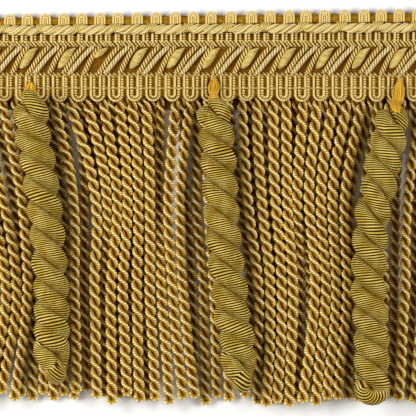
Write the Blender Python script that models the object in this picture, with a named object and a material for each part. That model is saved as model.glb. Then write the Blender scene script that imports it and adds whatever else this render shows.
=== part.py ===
"""Cord fringe trim: a woven heading with a laid cord and slanting bundles, two rows of strands, three drops.

The trim lies flat with its face up. X runs along the heading, +Y points to its looped top edge and the
fringe runs towards -Y. The origin is the middle of the heading's back, on the surface at Z = 0.
Tables and sizes are in millimetres, and the meshes are made in metres.
"""

import math
from collections import namedtuple

import bmesh
import bpy
import numpy as np

MM = 0.001
GAP = 0.3

# One repeat runs from drop to drop
REPEAT = 79.0
REPEATS = 3
SCALLOPS_PER_REPEAT = 10
BUNDLES_PER_REPEAT = 5
RIBS_PER_SCALLOP = 4

LENGTH = REPEAT * REPEATS
HALF_LENGTH = LENGTH / 2
SCALLOP = REPEAT / SCALLOPS_PER_REPEAT
BUNDLE_PITCH = REPEAT / BUNDLES_PER_REPEAT

# Heading, from its looped top edge to its scalloped lower edge
HEADING_TOP = 18.6
PICOT_DEPTH = 1.6
HEADING_BOTTOM = -19.1
SCALLOP_DEPTH = 1.9
SCALLOP_CENTRE = 5 / 8
RIB_HEIGHT = 0.35
GIMP_HEIGHT = 4.5
COURT_TOP = 4.4
COURT_BOTTOM = -7.2
COURT_HEIGHT = 2.1
CHANNEL_HEIGHT = 1.3
LIP_UNDERSIDE = 3.4
RECESS_Y = -14.0

# Twisted cord in the heading's channel
CORD_Y = 11.75
CORD_HALF_WIDTH = 2.35
CORD_HALF_WAIST = 1.5
CORD_TURN = REPEAT / 10
CORD_STEPS_PER_TURN = 6

# Slanting bundles of three cords, and the satin strips between them
FIRST_BUNDLE_X = -120.4
BUNDLE_LEAN = 6.2
BUNDLE_CURL = 4.0
BUNDLE_START = -3.4
SATIN_OFFSET = -7.2
SLANT_STEPS = (0.0, 0.4, 0.75, 0.92, 1.0)

# Fringe
STRIP_FRONT = -17.6
STRIP_TOP = LIP_UNDERSIDE - GAP
ROOT_Y = -19.5
ROOT_HEIGHT = 1.6
ROOT_RADIUS = 1.15
STRAND_RADIUS = 2.0
TIP_RADIUS = 0.9
TIP_LENGTH = 3.0
BEHIND = STRAND_RADIUS
FRONT = 3 * STRAND_RADIUS + GAP
UPPER_Y = -56.5
MIDDLE_Y = -78.0
LOWER_Y = -99.0
NEAR_TIP = 24.0

# Drops: two wound plies twisted together
PLY_RADIUS = 3.93
DROP_WAIST = 2.2
DROP_STEP = 2.0
DROP_END_SCALE = 0.45
DROP_END_LENGTH = 5.0
HALF_TURNS_BETWEEN_LOBES = 10
BED_ON_HEADING = GIMP_HEIGHT + RIB_HEIGHT + GAP
BED_ON_STRANDS = 2 * STRAND_RADIUS + 0.35

# Each row of the heading's section: its place across the heading and its height above the back
HeadingRow = namedtuple("HeadingRow", "name y z")
UPPER_ROWS = (
    HeadingRow("ground", 14.6, 2.5),
    HeadingRow("channel upper side", 14.1, CHANNEL_HEIGHT),
    HeadingRow("channel lower side", 9.4, CHANNEL_HEIGHT),
    HeadingRow("stitched ridge top", 8.9, 3.0),
    HeadingRow("stitched ridge foot", COURT_TOP + 0.5, 3.0),
    HeadingRow("court top", COURT_TOP, COURT_HEIGHT),
    HeadingRow("court bottom", COURT_BOTTOM, COURT_HEIGHT),
)
EDGE_THICKNESS = 1.8
GIMP_TOP_Y = -7.9
STITCH_LINE_Y = -13.3
STITCH_LINE_HEIGHT = 4.05

# Section of a bundle of three cords, and of a satin strip: places across it and heights
BUNDLE_SECTION = ((-5.0, 2.4), (-3.3, 4.4), (-1.65, 3.3), (0.0, 4.6), (1.65, 3.3), (3.3, 4.4), (5.0, 2.4))
SATIN_SECTION = ((-1.8, 2.4), (-1.4, 3.3), (0.0, 3.7), (1.4, 3.3), (1.8, 2.4))

# Strands: the layer at the root, upper, lower and tip levels (F in front, B behind), the place along the
# trim at those levels, and how far down the tip reaches. Rows run from the left end to the right end.
Strand = namedtuple("Strand", "layers root upper lower tip reach")
STRANDS = (
    Strand("BBBB", -116.0, -108.0, -101.0, -109.0, -144.0),
    Strand("FFFF", -112.0, -103.5, -95.5, -103.5, -145.0),
    Strand("FFFF", -106.0, -97.0, -89.0, -97.5, -146.5),
    Strand("FFFF", -99.5, -91.0, -84.5, -91.0, -143.0),
    Strand("BBBB", -95.0, -86.5, -82.0, -82.5, -144.5),
    Strand("FFFF", -90.5, -83.0, -80.0, -85.5, -146.0),
    Strand("BBBB", -85.5, -80.0, -77.5, -78.0, -146.0),
    Strand("BBBB", -81.0, -75.6, -73.0, -73.5, -143.5),
    Strand("BBBB", -76.0, -70.8, -68.6, -69.0, -146.0),
    Strand("BBBB", -71.9, -65.6, -64.35, -64.6, -144.0),
    Strand("FFFF", -69.0, -61.0, -60.0, -59.0, -143.0),
    Strand("BBBB", -65.5, -60.8, -60.18, -60.0, -145.5),
    Strand("FFFF", -62.0, -51.5, -51.5, -50.5, -145.0),
    Strand("BBBB", -58.5, -56.0, -56.0, -54.5, -142.0),
    Strand("FFBB", -54.5, -46.5, -47.5, -47.0, -144.5),
    Strand("FFFF", -48.0, -42.0, -44.5, -44.0, -147.5),
    Strand("BBBB", -44.5, -40.0, -42.0, -40.5, -145.0),
    Strand("FFFF", -41.0, -37.5, -39.5, -37.5, -144.0),
    Strand("FFFF", -35.5, -33.0, -33.5, -32.5, -146.5),
    Strand("FFFF", -29.5, -28.0, -28.0, -25.5, -146.0),
    Strand("BBFF", -23.5, -24.0, -23.0, -19.5, -147.5),
    Strand("FFFF", -17.0, -20.0, -18.5, -14.0, -145.5),
    Strand("BBBB", -14.5, -13.0, -10.0, -9.0, -144.5),
    Strand("FFFF", -11.0, -15.0, -14.0, -9.0, -145.0),
    Strand("BBBB", -8.0, -8.5, -5.5, -4.5, -148.0),
    Strand("BBBB", -4.0, -3.5, -1.0, 0.5, -145.0),
    Strand("BBBB", 0.0, 1.5, 4.0, 5.5, -146.5),
    Strand("BBBB", 5.5, 9.5, 14.5, 12.5, -145.0),
    Strand("FFFB", 11.0, 13.0, 18.0, 17.5, -147.5),
    Strand("FFFF", 17.0, 19.0, 23.0, 21.5, -148.5),
    Strand("FFFF", 24.0, 25.0, 28.0, 26.0, -147.0),
    Strand("FFFF", 30.0, 30.0, 32.5, 31.0, -148.5),
    Strand("FFBB", 37.0, 34.5, 36.0, 34.0, -146.0),
    Strand("BBBB", 40.0, 37.2, 40.2, 38.4, -144.5),
    Strand("FFFF", 43.0, 39.5, 42.0, 36.5, -147.0),
    Strand("BBBB", 46.3, 42.0, 44.4, 42.8, -146.5),
    Strand("FFFF", 49.5, 44.5, 46.5, 42.0, -148.0),
    Strand("BBBB", 52.5, 47.2, 48.8, 47.2, -146.5),
    Strand("FFFF", 55.5, 49.5, 51.0, 47.0, -145.5),
    Strand("BBBB", 58.8, 52.3, 53.0, 51.6, -144.0),
    Strand("FFFF", 62.0, 55.0, 55.5, 51.5, -145.5),
    Strand("BBBB", 65.5, 57.5, 57.3, 56.0, -145.5),
    Strand("BBBB", 69.0, 63.0, 61.6, 60.4, -146.5),
    Strand("BBBB", 73.5, 70.0, 71.5, 70.5, -146.5),
    Strand("BBBB", 79.0, 76.5, 76.0, 75.0, -145.0),
    Strand("BBBB", 84.0, 85.0, 84.0, 82.0, -146.0),
    Strand("FFFF", 88.0, 81.5, 80.0, 77.5, -146.0),
    Strand("FFFF", 94.5, 89.0, 88.0, 84.0, -147.0),
    Strand("FFFF", 100.0, 95.0, 94.0, 90.0, -145.5),
    Strand("FFFF", 106.0, 102.0, 100.0, 96.5, -146.5),
    Strand("FFFF", 112.5, 109.0, 106.5, 103.5, -147.5),
    Strand("BBBB", 116.0, 114.0, 112.0, 109.0, -145.0),
)
# Between the strands with these two root places, one more lies half way, in the row behind
FILLED_BETWEEN = (
    (-112.0, -106.0),
    (-106.0, -99.5),
    (-41.0, -35.5),
    (-35.5, -29.5),
    (17.0, 24.0),
    (24.0, 30.0),
    (94.5, 100.0),
    (100.0, 106.0),
    (106.0, 112.5),
)

# Drops: where the top and bottom are, the first and last places where the plies lie side by side, and the
# place along the trim at the top, a quarter, half, three quarters and the bottom
Drop = namedtuple("Drop", "top bottom first_lobe last_lobe at_top quarter half three_quarters at_bottom")
DROPS = (
    Drop(-15.3, -139.0, -24.7, -123.3, -79.0, -75.2, -71.4, -69.5, -67.6),
    Drop(-18.3, -142.8, -24.2, -127.5, -2.1, 1.3, 3.5, 7.1, 12.3),
    Drop(-21.3, -147.9, -26.8, -128.8, 75.2, 69.4, 65.0, 65.6, 66.3),
)
# Ties: the top end's place along the trim and across it, and half the width of the yarn
Tie = namedtuple("Tie", "x top half_width")
TIES = (Tie(-79.0, -11.0, 2.2), Tie(-0.9, -9.4, 2.2), Tie(76.9, -9.4, 3.0))
TIE_HALF_HEIGHT = 1.3
TIE_SIDES = 6

# Colours as linear RGB
COLOURS = {
    "gimp": (0.46, 0.27, 0.05),
    "cream cord": (0.62, 0.47, 0.20),
    "slant cords": (0.58, 0.41, 0.15),
    "satin": (0.55, 0.40, 0.10),
    "strands": (0.50, 0.31, 0.08),
    "drop winding": (0.42, 0.30, 0.07),
    "tie yarn": (0.62, 0.30, 0.02),
}


def clear_scene():
    for old in list(bpy.data.objects):
        bpy.data.objects.remove(old, do_unlink=True)


def collection(name):
    made = bpy.data.collections.new(name)
    bpy.context.scene.collection.children.link(made)
    return made


def material(name):
    made = bpy.data.materials.new(name.replace(" ", "_"))
    made.use_nodes = True
    shader = made.node_tree.nodes["Principled BSDF"]
    shader.inputs["Base Color"].default_value = (*COLOURS[name], 1.0)
    shader.inputs["Roughness"].default_value = 0.6
    shader.inputs["Metallic"].default_value = 0.0
    return made


def place(name, mesh_builder, finish, group):
    """Turns a bmesh into an object with its faces pointing out."""
    bmesh.ops.recalc_face_normals(mesh_builder, faces=mesh_builder.faces)
    mesh = bpy.data.meshes.new(name)
    mesh_builder.to_mesh(mesh)
    mesh_builder.free()
    mesh.materials.append(finish)
    made = bpy.data.objects.new(name, mesh)
    group.objects.link(made)
    return made


def add_loft(mesh_builder, rings):
    """Joins rings of equal point counts, in millimetres, into one closed skin with flat ends."""
    rows = [[mesh_builder.verts.new([c * MM for c in point]) for point in ring] for ring in rings]
    count = len(rows[0])
    for row, following in zip(rows, rows[1:]):
        for i in range(count):
            j = (i + 1) % count
            mesh_builder.faces.new((row[i], row[j], following[j], following[i]))
    mesh_builder.faces.new(rows[0][::-1])
    mesh_builder.faces.new(rows[-1])


def cut_at_ends(mesh_builder):
    """Cuts a piece square where the length of trim is cut, and closes it there."""
    for side in (-1, 1):
        geometry = [*mesh_builder.verts, *mesh_builder.edges, *mesh_builder.faces]
        bmesh.ops.bisect_plane(
            mesh_builder,
            geom=geometry,
            plane_co=(side * HALF_LENGTH * MM, 0, 0),
            plane_no=(side, 0, 0),
            clear_outer=True,
        )
        open_edges = [edge for edge in mesh_builder.edges if edge.is_boundary]
        bmesh.ops.holes_fill(mesh_builder, edges=open_edges)


def through(levels, values, at):
    """A smooth curve through the values at those levels: a cubic between each pair, with shared slopes."""
    order = np.argsort(levels)
    x = np.asarray(levels, float)[order]
    y = np.asarray(values, float)[order]
    slopes = np.gradient(y, x)
    i = int(np.clip(np.searchsorted(x, at) - 1, 0, len(x) - 2))
    width = x[i + 1] - x[i]
    t = (at - x[i]) / width
    rise = y[i + 1] - y[i]
    return float(
        y[i]
        + rise * (3 * t**2 - 2 * t**3)
        + width * slopes[i] * (t - 2 * t**2 + t**3)
        + width * slopes[i + 1] * (t**3 - t**2)
    )


def heading_top(x):
    return HEADING_TOP - PICOT_DEPTH * math.sin(math.pi * (x + HALF_LENGTH) / SCALLOP) ** 2


def heading_bottom(x):
    turns = (x + HALF_LENGTH) / SCALLOP - SCALLOP_CENTRE
    return HEADING_BOTTOM + SCALLOP_DEPTH * (1 - abs(math.cos(math.pi * turns)))


def heading_rows():
    """The rings of the heading as rows along X. Rows with ribs have twice the columns of the others."""
    columns = 2 * RIBS_PER_SCALLOP * SCALLOPS_PER_REPEAT * REPEATS
    fine = [-HALF_LENGTH + LENGTH * i / columns for i in range(columns + 1)]
    coarse = fine[::2]
    ribs = [RIB_HEIGHT * (1 - i % 2) for i in range(columns + 1)]
    rows = [
        [(x, heading_top(x), 0.0) for x in coarse],
        [(x, heading_top(x), EDGE_THICKNESS) for x in coarse],
    ]
    rows += [[(x, row.y, row.z) for x in coarse] for row in UPPER_ROWS]
    rows += [
        [(x, GIMP_TOP_Y, GIMP_HEIGHT + rib) for x, rib in zip(fine, ribs)],
        [(x, STITCH_LINE_Y, STITCH_LINE_HEIGHT + rib) for x, rib in zip(fine, ribs)],
        [(x, heading_bottom(x), GIMP_HEIGHT + rib) for x, rib in zip(fine, ribs)],
        [(x, heading_bottom(x), LIP_UNDERSIDE) for x in fine],
        [(x, RECESS_Y, LIP_UNDERSIDE) for x in coarse],
        [(x, RECESS_Y, 0.0) for x in coarse],
    ]
    return rows


def build_heading(group):
    made = bmesh.new()
    rows = [[made.verts.new([c * MM for c in point]) for point in row] for row in heading_rows()]
    for row, following in zip(rows, rows[1:] + rows[:1]):
        if len(row) == len(following):
            for i in range(len(row) - 1):
                made.faces.new((row[i], row[i + 1], following[i + 1], following[i]))
        else:
            coarse, fine = (row, following) if len(row) < len(following) else (following, row)
            for i in range(len(coarse) - 1):
                made.faces.new((coarse[i], coarse[i + 1], *fine[2 * i : 2 * i + 3][::-1]))
    made.faces.new([row[0] for row in rows])
    made.faces.new([row[-1] for row in rows][::-1])
    return place("heading_band", made, material("gimp"), group)


def build_edge_cord(group):
    """A two-ply cord as a turning diamond, with its twist slanting up to the right on the face."""
    height = CHANNEL_HEIGHT + GAP + CORD_HALF_WIDTH
    corners = ((CORD_HALF_WIDTH, 0), (0, CORD_HALF_WAIST), (-CORD_HALF_WIDTH, 0), (0, -CORD_HALF_WAIST))
    steps = round(LENGTH / CORD_TURN) * CORD_STEPS_PER_TURN
    rings = []
    for step in range(steps + 1):
        x = -HALF_LENGTH + LENGTH * step / steps
        turn = -2 * math.pi * step / CORD_STEPS_PER_TURN
        cos, sin = math.cos(turn), math.sin(turn)
        rings.append([(x, CORD_Y + a * cos - b * sin, height + a * sin + b * cos) for a, b in corners])
    made = bmesh.new()
    add_loft(made, rings)
    return place("edge_cord", made, material("cream cord"), group)


def slant(t):
    """How far a bundle has leaned over at the share t of the way up the court."""
    return BUNDLE_START + BUNDLE_LEAN * t + BUNDLE_CURL * t**4


def build_slanted(name, x, section, finish, group):
    low, high = COURT_BOTTOM + GAP, COURT_TOP - GAP
    rings = [
        [(x + slant(t) + across, low + (high - low) * t, height) for across, height in section]
        for t in SLANT_STEPS
    ]
    made = bmesh.new()
    add_loft(made, rings)
    cut_at_ends(made)
    return place(name, made, finish, group)


def build_slanted_row(group):
    cords, satin = material("slant cords"), material("satin")
    for i in range(BUNDLES_PER_REPEAT * REPEATS + 1):
        x = FIRST_BUNDLE_X + i * BUNDLE_PITCH
        build_slanted(f"slant_cords_{i + 1:02d}", x, BUNDLE_SECTION, cords, group)
        if i:
            build_slanted(f"satin_strip_{i:02d}", x + SATIN_OFFSET, SATIN_SECTION, satin, group)


def half_way(left, right):
    """A strand in the row behind, half way between two strands."""
    middle = [(a + b) / 2 for a, b in zip(left[1:], right[1:])]
    return Strand("BBBB", *middle)


def all_strands():
    by_root = {strand.root: strand for strand in STRANDS}
    extra = [half_way(by_root[left], by_root[right]) for left, right in FILLED_BETWEEN]
    return [*STRANDS, *extra]


def strand_rings(strand):
    """Diamond rings down one strand: flat in the strip, then rising to its own layer, and narrowing at the tip."""
    levels = (ROOT_Y, UPPER_Y, LOWER_Y, strand.reach)
    across = (strand.root, strand.upper, strand.lower, strand.tip)
    heights = [FRONT if layer == "F" else BEHIND for layer in strand.layers]
    risen = heights[0]
    stations = (
        ((STRIP_FRONT + RECESS_Y) / 2, ROOT_HEIGHT, ROOT_RADIUS),
        (ROOT_Y - 0.5, ROOT_HEIGHT, ROOT_RADIUS),
        (-26.0, (ROOT_HEIGHT + risen) / 2, (ROOT_RADIUS + STRAND_RADIUS) / 2),
        (-33.0, risen, STRAND_RADIUS),
        (UPPER_Y, heights[1], STRAND_RADIUS),
        (MIDDLE_Y, (heights[1] + heights[2]) / 2, STRAND_RADIUS),
        (LOWER_Y, heights[2], STRAND_RADIUS),
        (strand.reach + NEAR_TIP, (heights[2] + heights[3]) / 2, STRAND_RADIUS),
        (strand.reach + TIP_LENGTH, heights[3], STRAND_RADIUS),
        (strand.reach, heights[3], TIP_RADIUS),
    )
    rings = []
    for y, z, radius in stations:
        x = through(levels, across, min(y, ROOT_Y))
        rings.append([(x + radius, y, z), (x, y, z + radius), (x - radius, y, z), (x, y, z - radius)])
    return rings


def build_fringe(group, cutters):
    """The strip sewn behind the heading's lower edge, with every strand joined to it at its root."""
    finish = material("strands")
    strands = bmesh.new()
    for strand in all_strands():
        add_loft(strands, strand_rings(strand))
    guide = place("strands_before_joining", strands, finish, cutters)
    guide.hide_render = True
    guide.display_type = "WIRE"

    back = RECESS_Y - GAP
    strip = bmesh.new()
    bmesh.ops.create_cube(strip, size=1.0)
    size = (LENGTH * MM, (back - STRIP_FRONT) * MM, STRIP_TOP * MM)
    bmesh.ops.scale(strip, vec=size, verts=strip.verts)
    middle = (0, (back + STRIP_FRONT) / 2 * MM, STRIP_TOP / 2 * MM)
    bmesh.ops.translate(strip, vec=middle, verts=strip.verts)
    skirt = place("fringe_skirt", strip, finish, group)
    union = skirt.modifiers.new("join_roots", "BOOLEAN")
    union.operation = "UNION"
    union.solver = "EXACT"
    union.object = guide
    return skirt


def drop_section():
    """Eight points round two plies that lie side by side."""
    reach, shoulder = 2 * PLY_RADIUS, PLY_RADIUS
    half = [(reach, 0.0), (reach * 0.56, shoulder), (0.0, DROP_WAIST), (-reach * 0.56, shoulder)]
    return half + [(-a, -b) for a, b in half]


def drop_rings(drop):
    levels = [drop.top + (drop.bottom - drop.top) * share for share in (0, 0.25, 0.5, 0.75, 1)]
    across = (drop.at_top, drop.quarter, drop.half, drop.three_quarters, drop.at_bottom)
    half_turn = (drop.first_lobe - drop.last_lobe) / HALF_TURNS_BETWEEN_LOBES
    steps = round((drop.top - drop.bottom) / DROP_STEP)
    rings = []
    for step in range(steps + 1):
        y = drop.top + (drop.bottom - drop.top) * step / steps
        from_end = min(drop.top - y, y - drop.bottom) / DROP_END_LENGTH
        scale = DROP_END_SCALE + (1 - DROP_END_SCALE) * math.sin(math.pi / 2 * min(1, from_end))
        bed = np.interp(y, (-27.0, ROOT_Y), (BED_ON_STRANDS, BED_ON_HEADING))
        x = through(levels, across, y)
        z = bed + 2 * PLY_RADIUS * scale
        turn = -math.pi * (drop.first_lobe - y) / half_turn
        cos, sin = math.cos(turn) * scale, math.sin(turn) * scale
        rings.append([(x + a * cos - b * sin, y, z + a * sin + b * cos) for a, b in drop_section()])
    return rings


def build_drops(group):
    winding = material("drop winding")
    for number, drop in enumerate(DROPS, 1):
        made = bmesh.new()
        add_loft(made, drop_rings(drop))
        place(f"drop_{number}", made, winding, group)


def build_ties(group):
    """A short lock of yarn from the heading's face down to the top of each drop."""
    yarn = material("tie yarn")
    low = BED_ON_HEADING + TIE_HALF_HEIGHT
    high = BED_ON_HEADING + 2 * PLY_RADIUS * DROP_END_SCALE
    angles = [2 * math.pi * side / TIE_SIDES for side in range(TIE_SIDES)]
    for number, (tie, drop) in enumerate(zip(TIES, DROPS), 1):
        rings = []
        for share, width in ((0.0, 0.5), (0.35, 1.0), (0.75, 0.9), (1.0, 0.7)):
            x = tie.x + (drop.at_top - tie.x) * share
            y = tie.top + (drop.top + GAP - tie.top) * share
            z = low + (high - low) * share**2
            half, height = tie.half_width * width, TIE_HALF_HEIGHT * width
            rings.append([(x + half * math.cos(a), y, z + height * math.sin(a)) for a in angles])
        made = bmesh.new()
        add_loft(made, rings)
        place(f"drop_tie_{number}", made, yarn, group)


def main():
    clear_scene()
    trim = collection("cord_fringe_trim")
    cutters = collection("joining_guides")
    build_heading(trim)
    build_edge_cord(trim)
    build_slanted_row(trim)
    build_fringe(trim, cutters)
    build_drops(trim)
    build_ties(trim)


main()
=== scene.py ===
from functools import partial

import bpy
import numpy as np
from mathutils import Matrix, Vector


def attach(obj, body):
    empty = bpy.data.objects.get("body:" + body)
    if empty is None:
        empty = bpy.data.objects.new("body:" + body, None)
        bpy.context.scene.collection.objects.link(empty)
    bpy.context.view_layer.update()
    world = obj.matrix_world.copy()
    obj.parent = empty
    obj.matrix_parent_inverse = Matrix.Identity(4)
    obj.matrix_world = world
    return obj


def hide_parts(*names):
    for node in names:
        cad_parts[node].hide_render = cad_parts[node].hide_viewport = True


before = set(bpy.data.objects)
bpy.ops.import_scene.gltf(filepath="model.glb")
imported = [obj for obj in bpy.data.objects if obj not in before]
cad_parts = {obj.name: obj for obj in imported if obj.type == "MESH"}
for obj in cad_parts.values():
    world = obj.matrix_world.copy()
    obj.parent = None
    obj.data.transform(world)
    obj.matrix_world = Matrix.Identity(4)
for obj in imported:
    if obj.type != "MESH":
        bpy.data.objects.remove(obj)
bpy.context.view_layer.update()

mm = 0.001
pi = np.pi
halfLength = 118.5  # half the length of trim built, in mm as every size below
scallop = 7.9  # from one scallop of the heading's lower edge to the next
# The photo is 0.425 mm a pixel: its column 0 lies at x = -91.8, and its row 57 at y = 0
photo = {"pixel": 0.425, "left": -91.8, "zeroRow": 57}


def fromColumn(columns):
    # x = column x pixel + left
    return np.asarray(columns, float) * photo["pixel"] + photo["left"]


def fromRow(rows):
    # y = (zero row - row) x pixel
    return (photo["zeroRow"] - np.asarray(rows, float)) * photo["pixel"]


# Materials

# A colour mix has its share in socket 0, its colours in 6 and 7 and its result in output 2. A smooth range
# has its value in socket 0, its limits in 1 and 2 and its results there in 3 and 4: 3t^2 - 2t^3 between.
colourMix = {"output": 2, "data_type": "RGBA"}
smoothRange = {"interpolation_type": "SMOOTHSTEP"}


def linear(hexColour):
    # Linear = ((s + 0.055) / 1.055)^2.4 for each sRGB share s, or s / 12.92 when it is dark
    shares = [int(hexColour[i : i + 2], 16) / 255 for i in (1, 3, 5)]
    return (*[((s + 0.055) / 1.055) ** 2.4 if s > 0.04045 else s / 12.92 for s in shares], 1.0)


def setInputs(tree, node, inputs):
    # A socket is linked, a hex colour is turned to linear, and anything else is set as it is
    for name, value in inputs.items():
        if isinstance(value, bpy.types.NodeSocket):
            tree.links.new(value, node.inputs[name])
        else:
            node.inputs[name].default_value = linear(value) if isinstance(value, str) else value


def addNode(tree, kind, inputs=None, output=0, **settings):
    # One shader node with its settings and links. The output asked for is what comes back.
    node = tree.nodes.new("ShaderNode" + kind)
    for name, value in settings.items():
        setattr(node, name, value)
    setInputs(tree, node, inputs or {})
    return node.outputs[output]


def startMaterial(name):
    # The material, its node adder and its shader's input setter
    made = bpy.data.materials.new(name)
    made.use_nodes = True
    tree = made.node_tree
    return made, partial(addNode, tree), partial(setInputs, tree, tree.nodes["Principled BSDF"])


def twistCoordinates(add):
    # The UV map's u runs along a thread, and v runs round it from its outer side. Outward = |2 v - 1|
    uv = add("UVMap", uv_map="Twist")
    v = add("SeparateXYZ", {0: uv}, 1)
    outward = add("Math", {0: v, 1: 2.0, 2: -1.0}, operation="MULTIPLY_ADD")
    return add("SeparateXYZ", {0: uv}, 0), add("Math", {0: outward}, operation="ABSOLUTE"), v


def mottledColour(add, first, second, scale, detail=2.0, stretch=(1, 1, 1)):
    # A soft noise on Object coordinates, with scale features for each metre, and the colour it gives: from
    # first to second over the noise's middle, 0.35 to 0.65
    spread = add("Mapping", {"Vector": add("TexCoord", output="Object"), "Scale": stretch})
    patch = add("TexNoise", {"Vector": spread, "Scale": scale, "Detail": detail})
    share = add("MapRange", {0: patch, 1: 0.35, 2: 0.65}, **smoothRange)
    return patch, add("Mix", {0: share, 6: first, 7: second}, **colourMix)


def threadMaterial(name, look):
    # Rayon thread, spun from bright filament and twisted. Its colour holds painted light: a painted
    # highlight on the outer side, broken in beads by painted shade between the fine twist's turns, a warm
    # body, and painted shade on the inner side. A part's tone makes it paler and its beads weaker. Here u
    # is in mm.
    made, add, setShader = startMaterial(name)
    u, outward, v = twistCoordinates(add)
    tone = add("Attribute", output="Fac", attribute_name="tone")
    patch, body = mottledColour(add, look["body"], look["bodyPale"], look["patchScale"])
    # Beads = sin(2 pi (u / length + lean v + wander patch))
    turns = add("Math", {0: u, 1: look["beadLength"]}, operation="DIVIDE")
    turns = add("Math", {0: v, 1: look["beadLean"], 2: turns}, operation="MULTIPLY_ADD")
    turns = add("Math", {0: patch, 1: look["beadWander"], 2: turns}, operation="MULTIPLY_ADD")
    turns = add("Math", {0: turns, 1: 2 * pi}, operation="MULTIPLY")
    beads = add("Math", {0: turns}, operation="SINE")
    body = add("Mix", {0: tone, 6: body, 7: look["pale"]}, **colourMix)
    # Painted highlight: the outer side turns to the crest colour, as where the light catches the thread
    crestHighlight = add("MapRange", {0: outward, 1: look["crestFrom"], 2: look["crestTo"]}, **smoothRange)
    colour = add("Mix", {0: crestHighlight, 6: body, 7: look["crestHighlight"]}, **colourMix)
    # Painted glints and shade of the fine twist: the colour darkens between the beads
    low = add("MapRange", {0: beads, 1: -0.6, 2: 0.3, 3: look["beadDepth"], 4: 0.0}, **smoothRange)
    plain = add("Math", {0: 1.0, 1: tone}, operation="SUBTRACT")
    low = add("Math", {0: low, 1: plain}, operation="MULTIPLY")
    colour = add("Mix", {0: low, 6: colour, 7: look["beadShade"]}, **colourMix)
    # Painted shade: the inner side, where the thread lies against its neighbours, turns dark
    limits = {1: look["creviceFrom"], 2: look["creviceTo"], 3: 1.0, 4: 0.0}
    creviceShade = add("MapRange", {0: outward, **limits}, **smoothRange)
    colour = add("Mix", {0: creviceShade, 6: colour, 7: look["creviceShade"]}, **colourMix)
    bump = add("Bump", {"Height": beads, "Distance": look["beadHeight"] * mm, "Strength": 1.0})
    setShader({"Base Color": colour, "Roughness": look["roughness"], "Normal": bump})
    setShader({"Specular IOR Level": look["specular"], "Specular Tint": look["crestHighlight"]})
    return made


# Meshes


def unit(vectors):
    # Each vector divided by its length
    return vectors / np.maximum(np.linalg.norm(vectors, axis=-1, keepdims=True), 1e-12)


def through(levels, values, at):
    # A smooth curve through the values: a cubic between each pair of levels, with shared slopes
    order = np.argsort(levels)
    x, y = np.asarray(levels, float)[order], np.asarray(values, float)[order]
    slopes = np.gradient(y, x)
    at = np.asarray(at, float)
    i = np.clip(np.searchsorted(x, at) - 1, 0, len(x) - 2)
    width = x[i + 1] - x[i]
    t = np.clip((at - x[i]) / width, 0, 1)
    rise = y[i + 1] - y[i]
    bend = width * slopes[i] * (t - 2 * t**2 + t**3) + width * slopes[i + 1] * (t**3 - t**2)
    return y[i] + rise * (3 * t**2 - 2 * t**3) + bend


def lengthAlong(path):
    # The distance from the path's start to each of its points
    return np.concatenate([[0], np.cumsum(np.linalg.norm(np.diff(path, axis=0), axis=1))])


def pathFrame(path, outward):
    # Along = the path's direction. First = outward made square to it, and second = along x first
    along = unit(np.gradient(path, axis=0))
    first = unit(outward - (outward * along).sum(-1, keepdims=True) * along)
    return along, first, np.cross(along, first)


def levelFrame(axis):
    # Along = the axis's direction, side = level and square to it, and up = along x side
    along = unit(np.gradient(axis, axis=0))
    side = unit(np.cross([0.0, 0.0, 1.0], along))
    return along, side, np.cross(along, side)


def turned(first, second, angle):
    # first cos a + second sin a
    return first * np.cos(angle)[:, None] + second * np.sin(angle)[:, None]


def facingUp(path):
    # Straight up at each point of the path
    return np.broadcast_to([0.0, 0.0, 1.0], path.shape)


def tube(path, outward, radius, sides, tone=0.0, around=None):
    # Point = path + radius (first cos a + second sin a). The angles a are given, or are 2 pi j / sides
    first, second = pathFrame(path, outward)[1:]
    angles = 2 * pi * np.arange(sides) / sides if np.ndim(sides) == 0 else np.asarray(sides)
    around = angles / (2 * pi) if around is None else around
    radius = np.asarray(radius, float)
    radius = np.broadcast_to(radius[:, None] if radius.ndim == 1 else radius, (len(path), len(around)))
    ring = first[:, None] * np.cos(angles)[..., None] + second[:, None] * np.sin(angles)[..., None]
    return ringPart(path[:, None] + radius[..., None] * ring, lengthAlong(path), tone, around)


def ringPart(points, along, tone=0.0, around=None):
    # A closed skin of rings x sides points, with u = along and v = around, from 0 to 1 at the first point
    rings, sides = points.shape[:2]
    i = np.arange(rings - 1)[:, None] * sides
    j = np.arange(sides)[None]
    k = (j + 1) % sides
    quads = np.stack([i + j, i + k, i + sides + k, i + sides + j], -1).reshape(-1, 4)
    u = np.repeat(np.stack([along[:-1], along[:-1], along[1:], along[1:]], -1)[:, None], sides, 1)
    low = np.arange(sides) / sides if around is None else around
    high = np.append(low[1:], 1.0)
    v = np.repeat(np.stack([low, high, high, low], -1)[None], rings - 1, 0)
    return {
        "points": points.reshape(-1, 3),
        "quads": quads,
        "ends": [np.arange(sides)[::-1], np.arange(sides) + (rings - 1) * sides],
        "uv": np.concatenate([np.stack([u, v], -1).reshape(-1, 2), np.zeros((2 * sides, 2))]),
        "tone": np.repeat(np.broadcast_to(np.asarray(tone, float), (rings,)), sides),
    }


def boxPart(x0, x1, y0, y1, z0, z1):
    # A box, as a section of four corners at each end
    corners = [(y0, z0), (y0, z1), (y1, z1), (y1, z0)]
    points = np.array([[(x, y, z) for y, z in corners] for x in (x1, x0)], float)
    return ringPart(points, np.array([0.0, 1.0]))


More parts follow.
